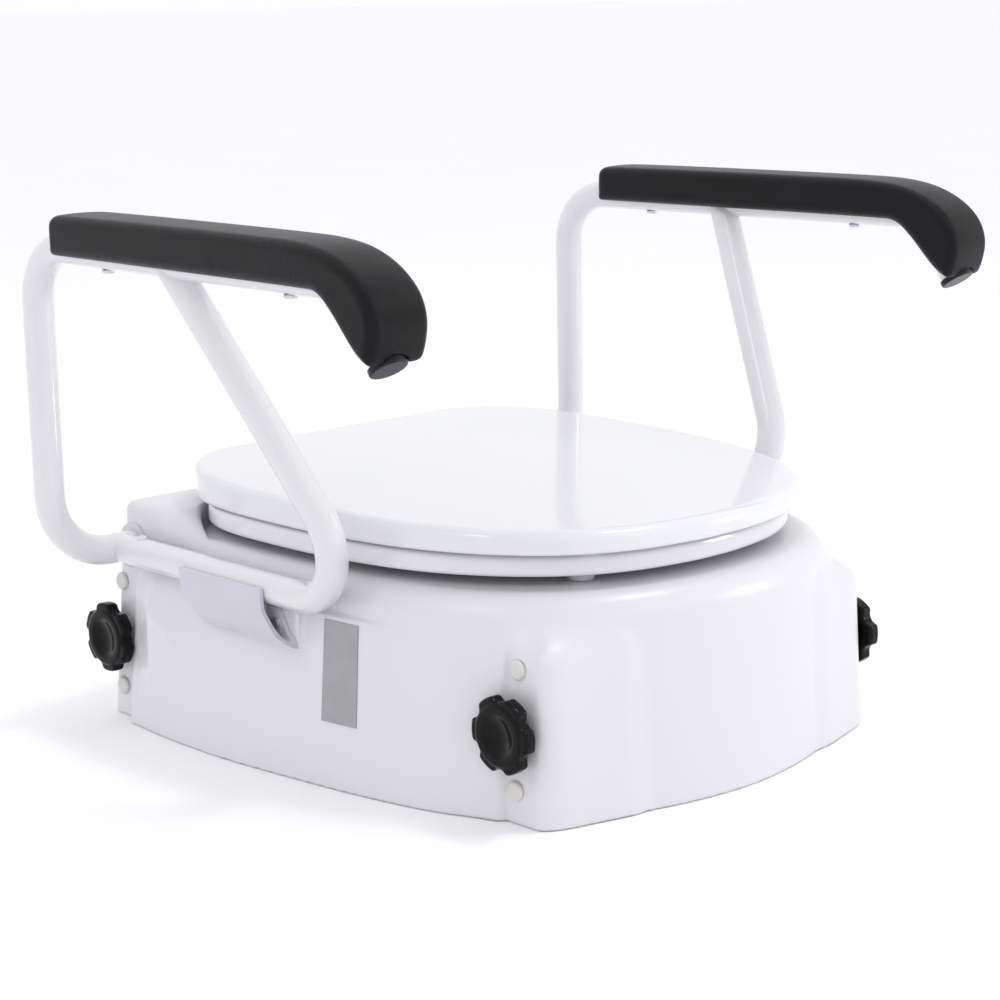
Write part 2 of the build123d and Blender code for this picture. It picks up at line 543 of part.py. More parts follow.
def clamp(face_x, hole_y, hole_z, narrow, turn):
    """Knob, screw, retaining ring, bracket and pad for a clamp on the +X side."""
    k = Pos(0, hole_y, hole_z) * Rot(turn, 0, 0) * knob(face_x)
    bore = cyl_x(SCREW_R, face_x - 5, face_x + 12.0, hole_y, hole_z)
    k = k - bore
    screw = cyl_x(SCREW_R, face_x - 52, face_x + 12.0, hole_y, hole_z)
    screw = chamfer([e for e in screw.edges() if e.geom_type == GeomType.CIRCLE], 0.8)
    groove = cyl_x(SCREW_R + 1, face_x - 5.6, face_x - 4.4, hole_y, hole_z) - cyl_x(
        SCREW_R - 0.9, face_x - 6, face_x - 4, hole_y, hole_z)
    screw = screw - groove
    clip = cyl_x(6.0, face_x - 5.5, face_x - 4.5, hole_y, hole_z) - cyl_x(
        SCREW_R - 0.9, face_x - 6, face_x - 4, hole_y, hole_z)
    gap = block(face_x - 7, face_x - 3, hole_y - 2.2, hole_y + 2.2, hole_z - 10, hole_z)
    clip = clip - gap
    bx = face_x - CLAMP_GAP
    y0, y1 = narrow
    bracket = block(bx - 5, bx, y0, y1, hole_z - 27, hole_z + 14)
    tongue = block(bx - 33, bx, y0, y1, hole_z + 9, hole_z + 14)
    bracket = bracket + tongue
    bracket = fillet([e for e in bracket.edges() if abs(e.center().X - (bx - 33)) < 0.1 and
                      e.bounding_box().size.Z > 3], 3)
    bracket = bracket + cyl_x(4.9, bx - 5, bx + 7, hole_y, hole_z)
    bracket = bracket & block(bx - 60, bx + 30, y0, y1, 0, 200)
    bracket = bracket - cyl_x(SCREW_R + 0.05, bx - 60, bx + 30, hole_y, hole_z)
    grip = block(bx - 8, bx - 5, y0 + 3, y1 - 3, hole_z - 25, hole_z - 6)
    for i in range(3):
        z = hole_z - 21 + 5.5 * i
        grip = grip - block(bx - 9, bx - 7, y0 - 1, y1 + 1, z - 0.8, z + 0.8)
    return {"knob": k, "clamp_screw": screw, "clamp_clip": clip, "clamp_bracket": bracket, "clamp_pad": grip}


mid = HOLE_Z[1]
front_face = BOSS_X - DRAFT * mid + 0.6
rear_face = PANEL_X - DRAFT * mid + 0.6
front = clamp(front_face, FRONT_HOLE_Y, mid, (-203.0, -168.0), 0)
rear = clamp(rear_face, REAR_HOLE_Y, mid, (171.0, 205.4), 25)
clips = []
for s, side in ((1, "left"), (-1, "right")):
    m = (lambda p: p) if s == 1 else mirror_x
    for where, parts in (("front", front), ("rear", rear)):
        for key, part in parts.items():
            if key == "knob":
                save(m(part), f"{where}_{side}_knob")
            else:
                save(m(part), f"{where}_{side}_{key}")

# ---- hole plugs and label plate ----------------------------------------------
plugs = []
for s in (1, -1):
    for y, base, ledge in ((FRONT_HOLE_Y, BOSS_X, 1), (REAR_HOLE_Y, PANEL_X, 1)):
        for z in (HOLE_Z[0], HOLE_Z[2]):
            face_x = base - DRAFT * z
            head = cyl_x(6.8, face_x + 0.34, face_x + 2.6, y, z)
            head = fillet([e for e in head.edges() if e.center().X > face_x + 2.4], 1.9)
            stem = cyl_x(HOLE_R - 0.1, face_x - 5.0, face_x + 0.4, y, z)
            p = head + stem
            plugs.append(p if s == 1 else mirror_x(p))
save(plugs, "hole_plugs")

plate = block(-208, -190, -80, -48, 52, 121)
near = lofted([(x, y) for x, y in BODY_BOTTOM], BODY_TOP, 0, DECK_Z)
grown_bottom = offset_points(BODY_BOTTOM, -0.6)
grown_top = offset_points(BODY_TOP, -0.6)
grown = lofted(grown_bottom, grown_top, 0, DECK_Z)
plate = extrude(make_face(Polyline((-230, -67, 46.8), (-230, -35.8, 46.8), (-230, -35.8, 116.6), (-230, -67, 116.6),
                                   close=True)), 50, dir=(1, 0, 0))
plate = (plate & grown) - near
plate = sorted(plate.solids(), key=lambda q: q.volume)[-1]
save(plate, "label_plate")
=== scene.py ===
import json
import math

import bpy
import numpy as np
import openvdb
from mathutils import Matrix, Vector
from mathutils.bvhtree import BVHTree


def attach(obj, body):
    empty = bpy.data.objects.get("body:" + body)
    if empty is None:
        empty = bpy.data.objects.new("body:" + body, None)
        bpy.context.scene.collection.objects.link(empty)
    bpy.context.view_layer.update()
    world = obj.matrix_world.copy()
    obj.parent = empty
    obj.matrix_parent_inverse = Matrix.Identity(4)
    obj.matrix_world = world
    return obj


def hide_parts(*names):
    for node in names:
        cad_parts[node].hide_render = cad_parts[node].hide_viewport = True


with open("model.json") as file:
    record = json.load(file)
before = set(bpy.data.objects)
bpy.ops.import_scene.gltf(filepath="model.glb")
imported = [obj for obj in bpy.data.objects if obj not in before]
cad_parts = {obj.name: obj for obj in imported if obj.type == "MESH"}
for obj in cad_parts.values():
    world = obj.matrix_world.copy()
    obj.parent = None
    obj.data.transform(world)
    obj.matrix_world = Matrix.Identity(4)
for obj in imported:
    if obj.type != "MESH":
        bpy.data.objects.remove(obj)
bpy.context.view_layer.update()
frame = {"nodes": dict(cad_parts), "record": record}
nodes = frame["nodes"]

YS = 9.30          # the working axes of the dimensions below sit this far behind the row frame, in mm
WALL = 3.2
DRAFT = 0.0437
HINGE_Y, HINGE_Z, POST_R = 192.0, 180.0, 7.5
BODY_BOTTOM = [(0, -245), (47, -240.5), (90, -229), (124, -212), (152, -189),
               (174, -159), (189, -122), (201, -66), (210, 0), (216, 60),
               (217, 120), (213, 178), (208, 213)]
BODY_TOP = [(0, -239), (46, -234.5), (88, -223), (120, -206), (146, -183),
            (167, -153), (182, -117), (192, -62), (196, 0), (197, 60),
            (197, 120), (196.6, 178), (196, 206.6)]
RING = [(0, -214), (27, -212.6), (64, -205), (96, -191), (122, -171), (143, -146),
        (160, -117), (173, -82), (181, -42), (185, 0), (185.5, 45), (184, 80),
        (178, 110), (165, 135), (140, 152), (105, 160)]
LID = [(0, -222), (27, -220.8), (68, -213), (101, -199), (127, -179), (148, -153),
       (164, -123), (176.5, -86), (184, -44), (187.3, 0), (187.2, 50), (184.6, 90),
       (177.5, 125), (163.5, 151), (144, 171), (118, 183.3)]
BOSS = [(165, -140), (165, -197), (164.5, -207), (155.5, -214.5), (140, -219.8), (118, -223.2),
        (93, -226), (80, -200), (80, -140), (120, -130)]


# ---- distance fields -------------------------------------------------------
def rmax(a, b, r):
    """Intersection of two solids with the edge between them rounded."""
    u, v = np.maximum(a + r, 0), np.maximum(b + r, 0)
    return np.minimum(np.maximum(a, b), -r) + np.sqrt(u * u + v * v)


def rmin(a, b, r):
    """Union of two solids with the corner between them filled."""
    u, v = np.maximum(r - a, 0), np.maximum(r - b, 0)
    return np.maximum(np.minimum(a, b), r) - np.sqrt(u * u + v * v)


def smooth(points, per=10, mirrored=True):
    """A smooth line through the points; the first lies on X = 0."""
    p = np.array(points, float)
    first = p[1] * [-1, 1] if mirrored else 2 * p[0] - p[1]
    q = np.vstack([first, p, 2 * p[-1] - p[-2]])
    out = []
    for i in range(1, len(q) - 2):
        for k in range(per):
            t = k / per
            a, b, c, d = q[i - 1], q[i], q[i + 1], q[i + 2]
            out.append(0.5 * (2 * b + (c - a) * t + (2 * a - 5 * b + 4 * c - d) * t * t
                              + (3 * b - a - 3 * c + d) * t ** 3))
    out.append(q[-2])
    return np.array(out)


def rounded(poly, r, least=25.0):
    """A closed polygon with an arc at each corner that turns by more than least degrees."""
    p, out = np.array(poly, float), []
    n = len(p)
    for i in range(n):
        a, b, c = p[i - 1], p[i], p[(i + 1) % n]
        u, v = a - b, c - b
        lu, lv = np.hypot(*u), np.hypot(*v)
        u, v = u / lu, v / lv
        turn = 180 - math.degrees(math.acos(float(np.clip(u @ v, -1, 1))))
        if turn < least:
            out.append(b)
            continue
        half = math.radians(180 - turn) / 2
        t = min(r / math.tan(half), 0.48 * lu if lu > 2 * r else 0.48 * max(lu, 4), 0.48 * lv)
        rr = t * math.tan(half)
        centre = b + (u + v) / np.hypot(*(u + v)) * (rr / math.sin(half))
        s, e = b + u * t - centre, b + v * t - centre
        a0, a1 = math.atan2(s[1], s[0]), math.atan2(e[1], e[0])
        d = (a1 - a0 + math.pi) % (2 * math.pi) - math.pi
        for k in range(9):
            an = a0 + d * k / 8
            out.append(centre + rr * np.array([math.cos(an), math.sin(an)]))
    return np.array(out)


def soften(points, steps=3):
    p = np.array(points, float)
    for k in range(steps):
        q = np.roll(p, -1, 0)
        p = np.stack([0.75 * p + 0.25 * q, 0.25 * p + 0.75 * q], 1).reshape(-1, 2)
    return p


def corner_cut(half, r):
    """Rounds the rear corner of a half outline into the straight rear edge."""
    p = [tuple(x) for x in half]
    last = np.array(p[-1])
    keep = [x for x in p if np.hypot(*(np.array(x) - last)) > r * 1.15]
    a = np.array(keep[-1]) - last
    a = a / np.hypot(*a)
    b = np.array([-1.0, 0.0])
    half_turn = math.acos(float(np.clip(a @ b, -1, 1))) / 2
    t = r / math.tan(half_turn)
    t = min(t, np.hypot(*(np.array(keep[-1]) - last)))
    rr = t * math.tan(half_turn)
    centre = last + (a + b) / np.hypot(*(a + b)) * (rr / math.sin(half_turn))
    s, e = last + a * t - centre, last + b * t - centre
    a0, a1 = math.atan2(s[1], s[0]), math.atan2(e[1], e[0])
    d = (a1 - a0 + math.pi) % (2 * math.pi) - math.pi
    arc = [tuple(centre + rr * np.array([math.cos(a0 + d * k / 10), math.sin(a0 + d * k / 10)]))
           for k in range(11)]
    return keep + arc


def closed(half):
    return np.array([tuple(x) for x in half] + [(-x, y) for x, y in reversed([tuple(q) for q in half]) if x > 1e-6])


def poly_sdf(poly, X, Y):
    """Signed distance to a closed polygon, negative inside."""
    best = np.full(X.shape, 1e9)
    inside = np.zeros(X.shape, bool)
    n = len(poly)
    for i in range(n):
        (x0, y0), (x1, y1) = poly[i], poly[(i + 1) % n]
        dx, dy = x1 - x0, y1 - y0
        l2 = dx * dx + dy * dy
        if l2 < 1e-12:
            continue
        t = np.clip(((X - x0) * dx + (Y - y0) * dy) / l2, 0, 1)
        best = np.minimum(best, (X - x0 - t * dx) ** 2 + (Y - y0 - t * dy) ** 2)
        if abs(dy) > 1e-12:
            hit = ((y0 > Y) != (y1 > Y)) & (X < (x1 - x0) * (Y - y0) / dy + x0)
            inside ^= hit
    d = np.sqrt(best)
    return np.where(inside, -d, d)


def line_distance(pts, X, Y):
    best = np.full(X.shape, 1e9)
    for (x0, y0), (x1, y1) in zip(pts[:-1], pts[1:]):
        dx, dy = x1 - x0, y1 - y0
        t = np.clip(((X - x0) * dx + (Y - y0) * dy) / (dx * dx + dy * dy), 0, 1)
        best = np.minimum(best, (X - x0 - t * dx) ** 2 + (Y - y0 - t * dy) ** 2)
    return np.sqrt(best)


def oval(a, y0, y1):
    pts, yc = [], (y0 + y1) / 2 + 12
    for k in range(0, 25):
        t = math.pi * k / 24
        x = a * math.sin(t) ** 0.9 if 0 < k < 24 else 0.0
        pts.append((x, yc - math.cos(t) * ((yc - y0) if t < math.pi / 2 else (y1 - yc))))
    return closed(pts)


def S(t):
    t = np.clip(t, 0, 1)
    return t * t * (3 - 2 * t)


def axes(x0, x1, y0, y1, z0, z1, h):
    x = np.arange(x0, x1 + h, h)
    y = np.arange(y0, y1 + h, h)
    z = np.arange(z0, z1 + h, h)
    return x, y, z, x[:, None, None], y[None, :, None], z[None, None, :]


def relax(co, quads, steps, share=0.5):
    """Evens out the voxel steps: moves each point towards the mean of its faces' centres and back, so nothing shrinks."""
    n = len(co)
    count = np.bincount(quads.ravel(), minlength=n)[:, None]
    for k in range(steps):
        for lam in (share, -share * 1.03):
            centre = co[quads].mean(1)
            total = np.zeros_like(co)
            for c in range(4):
                for axis in range(3):
                    total[:, axis] += np.bincount(quads[:, c], weights=centre[:, axis], minlength=n)
            co = co + lam * (total / np.maximum(count, 1) - co)
    return co


def mesh_from(field, origin, h, name, move=None, steps=4):
    grid = openvdb.FloatGrid(3 * h)
    grid.copyFromArray(np.clip(field, -3 * h, 3 * h).astype(np.float32))
    points, quads = grid.convertToQuads(isovalue=0.0)
    co = np.array(points, float)
    quads = np.array(quads, np.int64)
    co = np.array(origin, float) + co * h
    co = relax(co, quads, steps)
    if move is not None:
        co = move(co)
    co = (co + [0, YS, 0]) * 0.001
    a, b, c, d = (co[quads[:, k]] for k in range(4))
    volume = np.einsum("ij,ij->i", a, np.cross(b, c)).sum() + np.einsum("ij,ij->i", a, np.cross(c, d)).sum()
    if volume < 0:
        quads = quads[:, ::-1]
    me = bpy.data.meshes.new(name)
    me.vertices.add(len(co))
    me.vertices.foreach_set("co", co.astype(np.float32).ravel())
    me.loops.add(len(quads) * 4)
    me.loops.foreach_set("vertex_index", quads.astype(np.int32).ravel())
    me.polygons.add(len(quads))
    me.polygons.foreach_set("loop_start", np.arange(0, len(quads) * 4, 4, dtype=np.int32))
    me.update(calc_edges=True)
    me.validate()
    me.polygons.foreach_set("use_smooth", np.ones(len(me.polygons), bool))
    me.update()
    o = bpy.data.objects.new(name, me)
    bpy.context.scene.collection.objects.link(o)
    return o


def both_halves(half):
    """A field made for X >= 0, whose first plane is X = 0, as the whole symmetric field."""
    return np.concatenate([half[:0:-1], half], 0)


# ---- materials -------------------------------------------------------------
def material(name, colour, rough, vary=0.03, rough_vary=0.04, patch=22.0, grain=900.0, bump=0.02,
             coat=0.0, coat_rough=0.05, specular=0.5, metallic=0.0, subsurface=0.0, kind="plain", sheen=0.0):
    m = bpy.data.materials.new(name)
    m.use_nodes = True
    nt = m.node_tree
    nt.nodes.clear()
    out = nt.nodes.new("ShaderNodeOutputMaterial")
    sh = nt.nodes.new("ShaderNodeBsdfPrincipled")
    nt.links.new(sh.outputs[0], out.inputs[0])
    tc = nt.nodes.new("ShaderNodeTexCoord")

    def noise(scale, detail=4.0, mapping=None):
        t = nt.nodes.new("ShaderNodeTexNoise")
        t.inputs["Scale"].default_value = scale
        t.inputs["Detail"].default_value = detail
        if mapping is None:
            nt.links.new(tc.outputs["Object"], t.inputs["Vector"])
        else:
            mp = nt.nodes.new("ShaderNodeMapping")
            mp.inputs["Scale"].default_value = mapping
            nt.links.new(tc.outputs["Object"], mp.inputs["Vector"])
            nt.links.new(mp.outputs[0], t.inputs["Vector"])
        return t

    big = noise(patch)
    ramp = nt.nodes.new("ShaderNodeValToRGB")
    c0 = [max(0.0, v * (1 - vary)) for v in colour]
    c1 = [min(1.0, v * (1 + vary)) for v in colour]
    ramp.color_ramp.elements[0].position, ramp.color_ramp.elements[1].position = 0.3, 0.7
    ramp.color_ramp.elements[0].color = (*c0, 1)
    ramp.color_ramp.elements[1].color = (*c1, 1)
    nt.links.new(big.outputs["Fac"], ramp.inputs[0])
    nt.links.new(ramp.outputs[0], sh.inputs["Base Color"])
    fine = noise(grain * 0.35, 3.0)
    mr = nt.nodes.new("ShaderNodeMapRange")
    mr.inputs["To Min"].default_value = max(0.02, rough - rough_vary)
    mr.inputs["To Max"].default_value = min(1.0, rough + rough_vary)
    nt.links.new(fine.outputs["Fac"], mr.inputs["Value"])
    nt.links.new(mr.outputs[0], sh.inputs["Roughness"])
    bp = nt.nodes.new("ShaderNodeBump")
    bp.inputs["Strength"].default_value = bump
    bp.inputs["Distance"].default_value = 0.001
    if kind == "leather":
        vor = nt.nodes.new("ShaderNodeTexVoronoi")
        vor.inputs["Scale"].default_value = grain
        nt.links.new(tc.outputs["Object"], vor.inputs["Vector"])
        n2 = noise(grain * 1.7, 5.0)
        mix = nt.nodes.new("ShaderNodeMath")
        mix.operation = "MULTIPLY_ADD"
        mix.inputs[1].default_value = 0.55
        nt.links.new(n2.outputs["Fac"], mix.inputs[0])
        nt.links.new(vor.outputs["Distance"], mix.inputs[2])
        nt.links.new(mix.outputs[0], bp.inputs["Height"])
    elif kind == "brushed":
        n2 = noise(60.0, 6.0, (1.0, 60.0, 1.0))
        nt.links.new(n2.outputs["Fac"], bp.inputs["Height"])
    elif kind == "turned":
        wave = nt.nodes.new("ShaderNodeTexWave")
        wave.inputs["Scale"].default_value = 500.0
        wave.inputs["Distortion"].default_value = 0.6
        nt.links.new(tc.outputs["Object"], wave.inputs["Vector"])
        nt.links.new(wave.outputs["Fac"], bp.inputs["Height"])
    else:
        n2 = noise(grain, 4.0)
        nt.links.new(n2.outputs["Fac"], bp.inputs["Height"])
    nt.links.new(bp.outputs[0], sh.inputs["Normal"])
    sh.inputs["Metallic"].default_value = metallic
    sh.inputs["Coat Weight"].default_value = coat
    sh.inputs["Coat Roughness"].default_value = coat_rough
    sh.inputs["Specular IOR Level"].default_value = specular
    sh.inputs["Subsurface Weight"].default_value = subsurface
    sh.inputs["Subsurface Radius"].default_value = (0.004, 0.004, 0.005)
    sh.inputs["Sheen Weight"].default_value = sheen
    m.diffuse_color = (*colour, 1)
    return m


MAT = {
    "body_plastic": material("satin_moulded_white", (0.695, 0.69, 0.715), 0.30, 0.012, 0.05, 9.0, 1400.0, 0.035),
    "seat_plastic": material("gloss_white", (0.735, 0.74, 0.76), 0.13, 0.010, 0.03, 7.0, 500.0, 0.006, coat=0.5),
    "coated_steel": material("powder_coat_white", (0.70, 0.70, 0.72), 0.22, 0.012, 0.04, 18.0, 700.0, 0.018, coat=0.6, coat_rough=0.08),
    "pad_foam": material("black_grained_pad", (0.005, 0.005, 0.0062), 0.33, 0.20, 0.08, 30.0, 1500.0, 0.38, specular=0.15, kind="leather"),
    "knob_plastic": material("black_gloss_knob", (0.002, 0.002, 0.0026), 0.10, 0.15, 0.02, 60.0, 1500.0, 0.02, specular=0.16),
    "cap_plastic": material("dark_cap", (0.012, 0.012, 0.016), 0.30, 0.15, 0.06, 60.0, 1200.0, 0.05, specular=0.2),
    "cradle_plastic": material("milky_cradle", (0.58, 0.56, 0.62), 0.22, 0.03, 0.04, 30.0, 700.0, 0.012, coat=0.4, subsurface=0.25),
    "fitting_plastic": material("fitting_white", (0.66, 0.66, 0.69), 0.35, 0.02, 0.05, 30.0, 900.0, 0.03),
    "bracket_plastic": material("bracket_grey_white", (0.56, 0.56, 0.59), 0.42, 0.03, 0.06, 30.0, 900.0, 0.04),
    "plug_plastic": material("plug_ivory", (0.66, 0.64, 0.62), 0.30, 0.03, 0.05, 60.0, 900.0, 0.02, subsurface=0.2),
    "button_plastic": material("button_white", (0.68, 0.68, 0.71), 0.22, 0.02, 0.04, 60.0, 900.0, 0.02, coat=0.3),
    "bumper_rubber": material("bumper_pale", (0.60, 0.60, 0.62), 0.55, 0.04, 0.08, 60.0, 900.0, 0.08),
    "grip_rubber": material("grip_black", (0.03, 0.03, 0.032), 0.65, 0.15, 0.08, 60.0, 1100.0, 0.20),
    "zinc_steel": material("zinc_plate", (0.62, 0.63, 0.65), 0.28, 0.05, 0.10, 90.0, 900.0, 0.05, metallic=1.0, kind="turned"),
    "plate_metal": material("brushed_plate", (0.36, 0.36, 0.375), 0.34, 0.05, 0.08, 40.0, 900.0, 0.10, metallic=0.85, kind="brushed"),
}
SLOT = {s["node"]: s["material_slot"] for s in frame["record"]["subparts"]}


def dress(o, slot):
    o.data.materials.clear()
    o.data.materials.append(MAT[slot])
    for p in o.data.polygons:
        p.material_index = 0


for name, o in nodes.items():
    o.data.materials.clear()
    o.data.materials.append(MAT[SLOT[name]])
    o.data.polygons.foreach_set("material_index", np.zeros(len(o.data.polygons), np.int32))

# moulded edges of the small hard parts are slightly softened
for name, o in nodes.items():
    width = None
    if "cradle_left" in name or "cradle_right" in name:
        width = 0.0006
    elif name.startswith("hinge_post") or name.endswith("clamp_bracket"):
        width = 0.0008
    if width:
        weld = o.modifiers.new("join", "WELD")
        weld.merge_threshold = 0.00002
        bev = o.modifiers.new("soften", "BEVEL")
        bev.width = width
        bev.segments = 3
        bev.limit_method = "ANGLE"
        bev.angle_limit = math.radians(35)
        bev.harden_normals = False

# ---- body -------------------------------------------------------------------
h = 1.5
x, y, z, X, Y, Z = axes(0, 224, -252, 222, -4.5, 169.5, h)
X2, Y2 = np.meshgrid(x, y, indexing="ij")


def outline2(points, r):
    return closed(corner_cut(smooth(points), r))


low = poly_sdf(outline2(BODY_BOTTOM, 9.0), X2, Y2)[:, :, None]
top = poly_sdf(outline2(BODY_TOP, 9.0), X2, Y2)[:, :, None]
t = np.clip(Z / 147.0, -0.1, 1.15)
wall = low * (1 - t) + top * t
# the side bulge: full width up to a ridge that climbs towards the rear
ridge = np.interp(Y, [-60, -37, 17, 56, 101, 133, 151, 181], [8, 13, 24, 41, 62, 86, 94, 99])
lean = np.interp(Y, [-100, -66, 0, 60, 120, 148, 171], [0, 0.0175, 0.0515, 0.0855, 0.0924, 0.078, 0])
b1 = lean * np.maximum(Z, 0)
b2 = lean * ridge * np.maximum(122 - Z, 0) / (122 - ridge)
wall = wall - 1.6 * np.maximum(b1 + b2 - np.sqrt((b1 - b2) ** 2 + 0.15 * (lean / 0.09)), 0) / 2
# rear clamp panels, set back from the bulge
cut = rmax(rmax(181 - Y, 203 - DRAFT * Z - X, 2.0), Z - 117, 6.0)
wall = rmax(wall, -cut, 2.5)
deck = 147 + 16 * S((Y - 96) / 54.0)
crown = (Z - deck) * 0.93
soft = 17 - 9.5 * S((Y - 150) / 40.0)
shape = rmax(wall, crown, soft)
# front clamp bosses, run into the wall
boss2 = poly_sdf(soften(BOSS), X2, Y2)[:, :, None]
boss = rmax(boss2 + DRAFT * Z, Z - 121.5, 17.0)
shape = rmin(shape, boss, 16.0)
# the clamp face of each front boss stays flat
face = X - (165 - DRAFT * Z + 1.3 * np.maximum(Y + 177, 0))
shape = np.where(Y < -140, np.maximum(shape, face / 1.3), shape)
# trays for the lower arm tubes
shape = np.minimum(rmax(shape, X - 195.6, 12.0), rmax(shape, Z - 120.4, 1.0))
# recess for the seat ring in the raised rear deck
pocket = poly_sdf(outline2(RING, 16.0), X2, Y2)[:, :, None] - 5.5
shape = np.minimum(rmax(shape, -pocket, 2.5), np.maximum(shape, Z - 147))
hole = poly_sdf(oval(108, -167.5, 87.5), X2, Y2)[:, :, None]
outer = shape
shell = np.maximum(outer, -(outer + WALL))
skirt = np.maximum(np.maximum(hole - 3.5, 85 - Z), outer)
shell = rmin(shell, skirt, 2.0)
shell = rmax(shell, -hole, 1.4)
mount = np.maximum(np.maximum(X - 204.3, 190 - X), np.maximum(np.abs(Y - 40) - 55, np.abs(Z - 107) - 13))
shell = rmin(shell, mount, 2.0)
bore = np.sqrt((Y - 190) ** 2 + (Z - 132) ** 2)
sleeve = np.maximum(np.maximum(bore - 16.5, 176 - X), X - 195.6)
shell = np.minimum(shell, sleeve)
shell = np.maximum(shell, -np.maximum(bore - 13.1, 150 - X))
shell = np.maximum(shell, -np.maximum(bore - 16.1, 193.4 - X))
for hy in (-185.6, 200.5):
    for hz in (23, 63, 103):
        pin = np.maximum(np.sqrt((Y - hy) ** 2 + (Z - hz) ** 2) - 4.25, 135 - X)
        shell = np.maximum(shell, -pin)
shell = rmax(shell, -Z, 0.8)
body = mesh_from(both_halves(shell), (-x[-1], y[0], z[0]), h, "body_shell_moulding", steps=6)
dress(body, "body_plastic")
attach(body, "root")
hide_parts("body_shell")

# ---- seat ring ---------------------------------------------------------------
h = 1.2
x, y, z, X, Y, Z = axes(0, 192, -220, 204, 150, 192, h)
X2, Y2 = np.meshgrid(x, y, indexing="ij")
edge = poly_sdf(outline2(RING, 14.0), X2, Y2)[:, :, None]
ring = rmax(rmax(edge, Z - 170, 6.0), 154 - Z, 3.0)
ring = rmax(ring, -poly_sdf(oval(104, -163.5, 82), X2, Y2)[:, :, None], 4.5)
arm2 = rounded([(148, 155), (155, 155), (162.5, 164.5), (195, 173.2), (187.4, 185.9), (148, 169)], 1.5)
Y3, Z3 = np.meshgrid(y, z, indexing="ij")
arm = rmax(poly_sdf(arm2, Y3, Z3)[None], np.abs(X - 84.25) - 9.75, 1.2)
axis_r = np.sqrt((Y - HINGE_Y) ** 2 + (Z - HINGE_Z) ** 2)
lug = rmax(axis_r - POST_R, np.abs(X - 84.25) - 9.75, 1.0)
ring = rmin(rmin(arm, lug, 2.0), ring, 4.0)
ring = np.maximum(ring, -np.maximum(axis_r - 4.1, X - 90))
ring_o = mesh_from(both_halves(ring), (-x[-1], y[0], z[0]), h, "seat_ring_moulding", steps=5)
dress(ring_o, "seat_plastic")
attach(ring_o, "ring")
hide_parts("seat_ring")

# ---- lid ----------------------------------------------------------------------
x, y, z, X, Y, Z = axes(0, 194, -228, 204, 166, 202, h)
X2, Y2 = np.meshgrid(x, y, indexing="ij")
edge = poly_sdf(outline2(LID, 8.0), X2, Y2)[:, :, None]
roof = 186.5 + 8.5 * (Y + 222) / 405.0 - 1.6 * (X / 187.0) ** 2 - 0.9 * np.clip((-Y - 60) / 160.0, 0, 1) ** 2
lid = rmax(rmax(edge, Z - roof, 7.2 - 3.4 * S((Y - 95) / 60.0)), 170.4 - Z, 2.2)
hollow = rmax(edge + 4.0, Z - (roof - 4.0), 4.0)
lid = rmax(lid, -hollow, 0.8)
lid = np.maximum(lid, -np.maximum(np.maximum(np.abs(X - 84.5) - 12.5, 150 - Y), Z - 190.2))
Y3, Z3 = np.meshgrid(y, z, indexing="ij")
web2 = rounded([(180.5, 172.5), (195, 173.2), (187.4, 185.9), (180.5, 190)], 1.0)
web = rmax(poly_sdf(web2, Y3, Z3)[None], np.abs(X - 38.75) - 10.75, 1.0)
axis_r = np.sqrt((Y - HINGE_Y) ** 2 + (Z - HINGE_Z) ** 2)
knuckle = rmax(axis_r - POST_R, np.abs(X - 38.75) - 10.75, 1.0)
lid = rmin(lid, np.minimum(web, knuckle), 1.5)
lid = np.maximum(lid, -np.maximum(axis_r - 4.1, 31 - X))
lid_o = mesh_from(both_halves(lid), (-x[-1], y[0], z[0]), h, "lid_moulding", steps=6)
dress(lid_o, "seat_plastic")
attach(lid_o, "lid")
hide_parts("lid")

# ---- arm pads -------------------------------------------------------------------
PROFILE = [(138, 356.6), (132, 356.6), (-145, 356.6), (-160, 355.6), (-174, 344.5), (-193, 324),
           (-202, 317.6), (-209, 315.0), (-213.8, 324), (-217.2, 341), (-211.5, 357), (-198, 369.8),
           (-176, 380), (-150, 385), (-110, 386.3), (125, 386.0), (134, 384.5), (138, 379.5), (138, 362)]


TURN = math.radians(1.83)
h = 1.1
x, y, z, X, Y, Z = axes(-27, 27, -225, 143, 310, 391, h)
Y3, Z3 = np.meshgrid(y, z, indexing="ij")
side = poly_sdf(soften(PROFILE), Y3, Z3)[None]
# crowned across, with full upper edges and a slight waist along the sides
half_width = 23.0 - 0.5 * S((380 - Z) / 30.0) * S((Z - 357) / 8.0)
pad = rmax(side + 1.1 * (X / 23.0) ** 2, np.abs(X) - half_width, 6.8)
a0 = np.array([-172.7, 360.0]); d1 = np.array([-201.6 + 172.7, 315.7 - 360.0]); d1 = d1 / np.hypot(*d1)
turn = math.acos(float(np.array([-1.0, 0.0]) @ d1))
tl = 36 * math.tan(turn / 2)
p0, p1 = a0 + np.array([tl, 0]), a0 + d1 * tl
centre = p0 + np.array([0, -36.0])
path = [(200.0, 360.0), tuple(p0)]
for k in range(1, 9):
    an = math.pi / 2 + turn * k / 8
    path.append((centre[0] + 36 * math.cos(an), centre[1] + 36 * math.sin(an)))
path.append(tuple(a0 + d1 * 75))
tube = np.sqrt(line_distance(path, Y3, Z3)[None] ** 2 + (X - 0.6) ** 2) - 11.25
pad = rmax(pad, -tube, 0.8)
# room for the brace where it meets the tube
c, s = math.cos(TURN), math.sin(TURN)


def local(p):
    dx, dy = p[0] - 269.4, p[1]
    return np.array([dx * c + dy * s, -dx * s + dy * c, p[2]])


